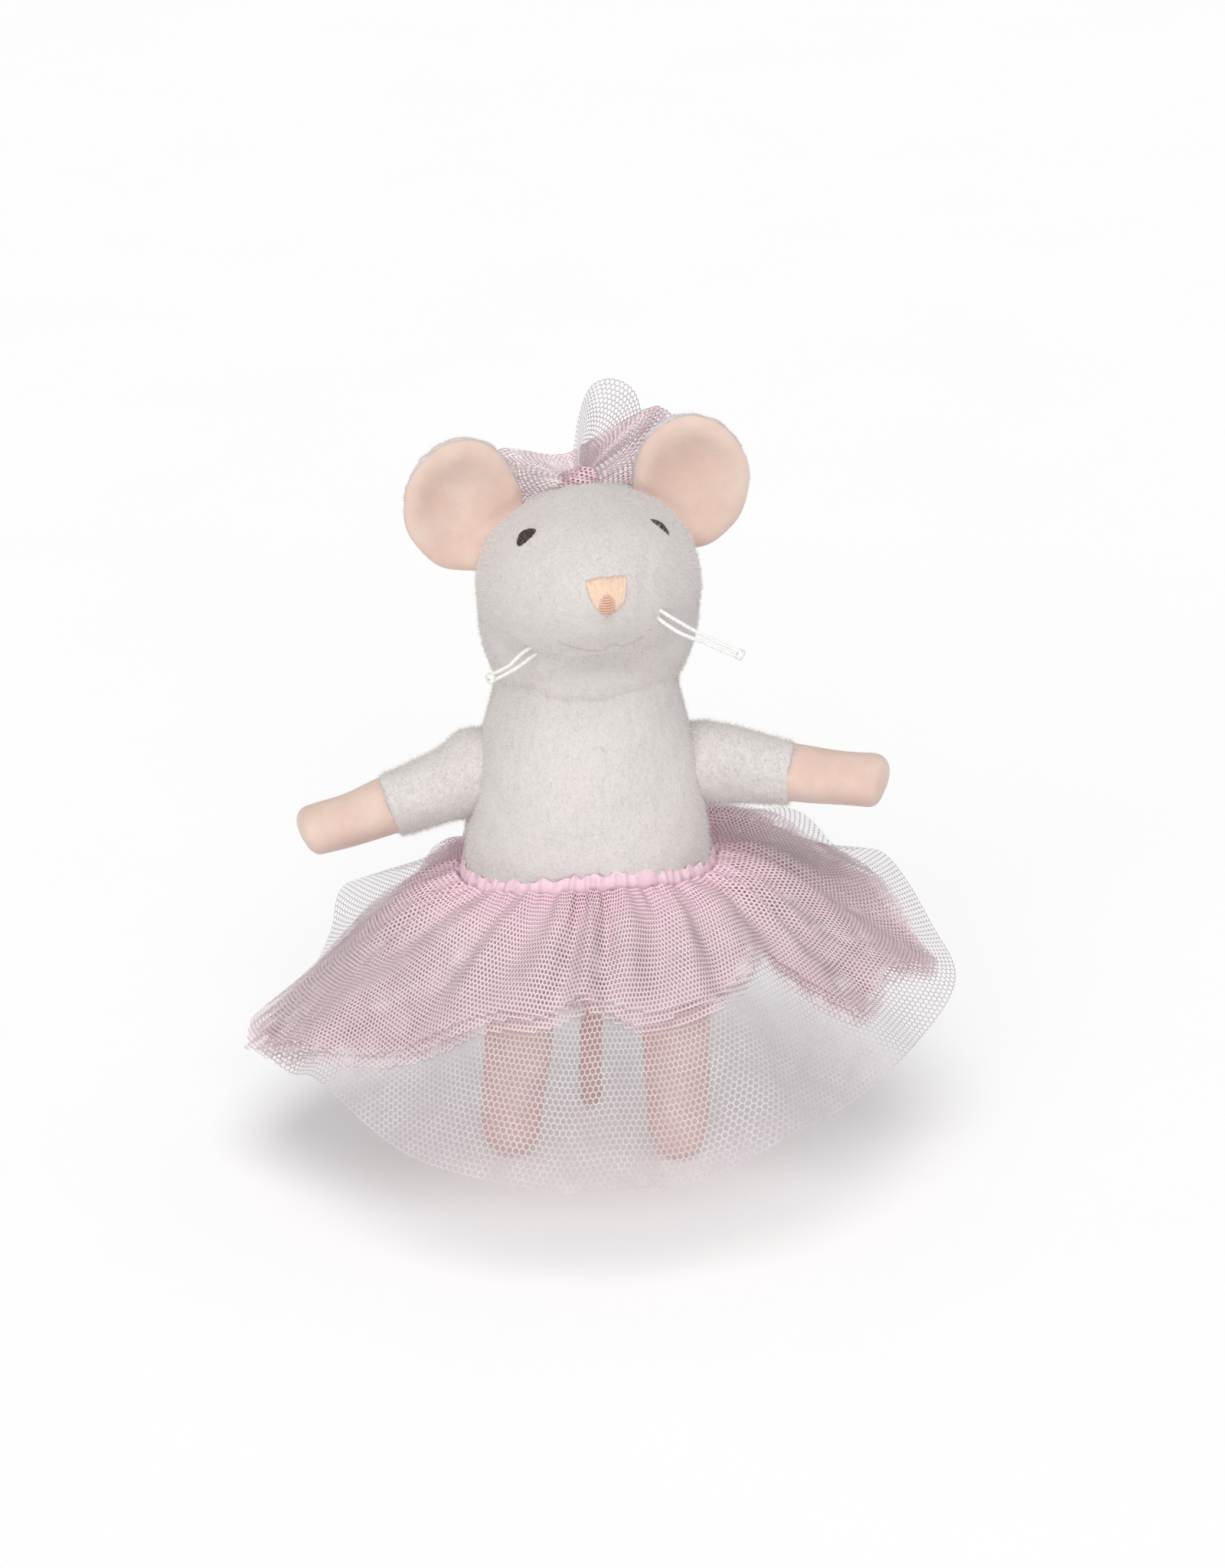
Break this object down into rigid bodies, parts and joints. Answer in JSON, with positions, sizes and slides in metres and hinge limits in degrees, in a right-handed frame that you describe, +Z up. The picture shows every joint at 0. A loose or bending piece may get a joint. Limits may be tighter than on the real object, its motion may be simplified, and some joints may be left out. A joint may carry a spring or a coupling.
{
  "type": "soft toy mouse",
  "caption": "Small standing stuffed mouse of white towelling with velour ears, paws and feet, in a pink net ballet skirt with a matching hair bow.",
  "frame": {"origin": "on the floor, under the middle of the toy's box; the torso's upright axis stands 1.8 mm towards -X and 4.05 mm towards -Y from it", "axes": "+Z up, the mouse faces -Y, its own left side is +X"},
  "size_m": [0.1068, 0.1056, 0.1263],
  "materials": {
    "white_towelling": "matte",
    "peach_velour": "matte",
    "pink_velour": "matte",
    "fibre_fill": "matte",
    "pink_net": "satin",
    "pale_net": "satin",
    "pink_tape": "satin",
    "pink_thread": "satin",
    "dark_thread": "satin",
    "peach_thread": "satin",
    "grey_thread": "matte",
    "white_cord": "satin"
  },
  "bodies": {
    "torso": {"torso_cover": "white_towelling", "torso_stuffing": "fibre_fill"},
    "head": {"head_cover": "white_towelling", "head_stuffing": "fibre_fill", "eye_left": "dark_thread", "eye_right": "dark_thread", "nose": "peach_thread", "mouth": "grey_thread", "whiskers_left": "white_cord", "whiskers_right": "white_cord", "bow_knot": "pink_tape", "bow_loop_left": "pink_net", "bow_loop_right": "pink_net", "bow_end": "pink_net"},
    "ear_left": {"ear_lining_left": "peach_velour", "ear_back_left": "white_towelling"},
    "arm_left": {"sleeve_left": "white_towelling", "paw_left": "peach_velour", "arm_stuffing_left": "fibre_fill"},
    "leg_left": {"thigh_left": "white_towelling", "foot_left": "pink_velour", "leg_stuffing_left": "fibre_fill"},
    "ear_right": {"ear_lining_right": "peach_velour", "ear_back_right": "white_towelling"},
    "arm_right": {"sleeve_right": "white_towelling", "paw_right": "peach_velour", "arm_stuffing_right": "fibre_fill"},
    "leg_right": {"thigh_right": "white_towelling", "foot_right": "pink_velour", "leg_stuffing_right": "fibre_fill"},
    "tail": {"tail": "pink_velour"},
    "tutu": {"waistband": "pink_tape", "gathering_thread": "pink_thread", "net_long": "pale_net", "net_short_1": "pink_net", "net_short_2": "pink_net", "net_short_3": "pink_net"}
  },
  "joints": [
    {"name": "neck_turn", "type": "hinge", "parent": "torso", "child": "head", "pos_m": [-0.0018, -0.00405, 0.0772], "axis": [0, 0, 1], "range_deg": [-25, 25], "stiffness_Nm_per_rad": 0.01},
    {"name": "ear_left_flop", "type": "hinge", "parent": "head", "child": "ear_left", "pos_m": [0.0091, 0.00042, 0.10457], "axis": [0.6853, 0.0963, -0.7219], "range_deg": [-20, 12], "stiffness_Nm_per_rad": 0.001},
    {"name": "ear_right_flop", "type": "hinge", "parent": "head", "child": "ear_right", "pos_m": [-0.01535, -0.00302, 0.10263], "axis": [0.565, 0.0794, 0.8213], "range_deg": [-20, 12], "stiffness_Nm_per_rad": 0.001},
    {"name": "arm_left_swing", "type": "hinge", "parent": "torso", "child": "arm_left", "pos_m": [0.0152, -0.00405, 0.064], "axis": [-0.1392, -0.9903, 0], "range_deg": [-28, 40], "stiffness_Nm_per_rad": 0.005},
    {"name": "arm_right_swing", "type": "hinge", "parent": "torso", "child": "arm_right", "pos_m": [-0.0188, -0.00405, 0.0623], "axis": [-0.1392, 0.9903, 0], "range_deg": [-19, 55], "stiffness_Nm_per_rad": 0.005},
    {"name": "leg_left_swing", "type": "hinge", "parent": "torso", "child": "leg_left", "pos_m": [0.0115, -0.00405, 0.036], "axis": [-1, 0, 0], "range_deg": [-15, 55], "stiffness_Nm_per_rad": 0.02},
    {"name": "leg_right_swing", "type": "hinge", "parent": "torso", "child": "leg_right", "pos_m": [-0.011, -0.00405, 0.036], "axis": [-1, 0, 0], "range_deg": [-15, 55], "stiffness_Nm_per_rad": 0.02},
    {"name": "tail_lift", "type": "hinge", "parent": "torso", "child": "tail", "pos_m": [-0.0013, 0.01055, 0.036], "axis": [1, 0, 0], "range_deg": [-5, 60], "stiffness_Nm_per_rad": 0.002},
    {"name": "tutu_turn", "type": "hinge", "parent": "torso", "child": "tutu", "pos_m": [-0.0018, -0.00405, 0.05], "axis": [0, 0, 1], "range_deg": [-15, 15], "stiffness_Nm_per_rad": 0.005}
  ]
}
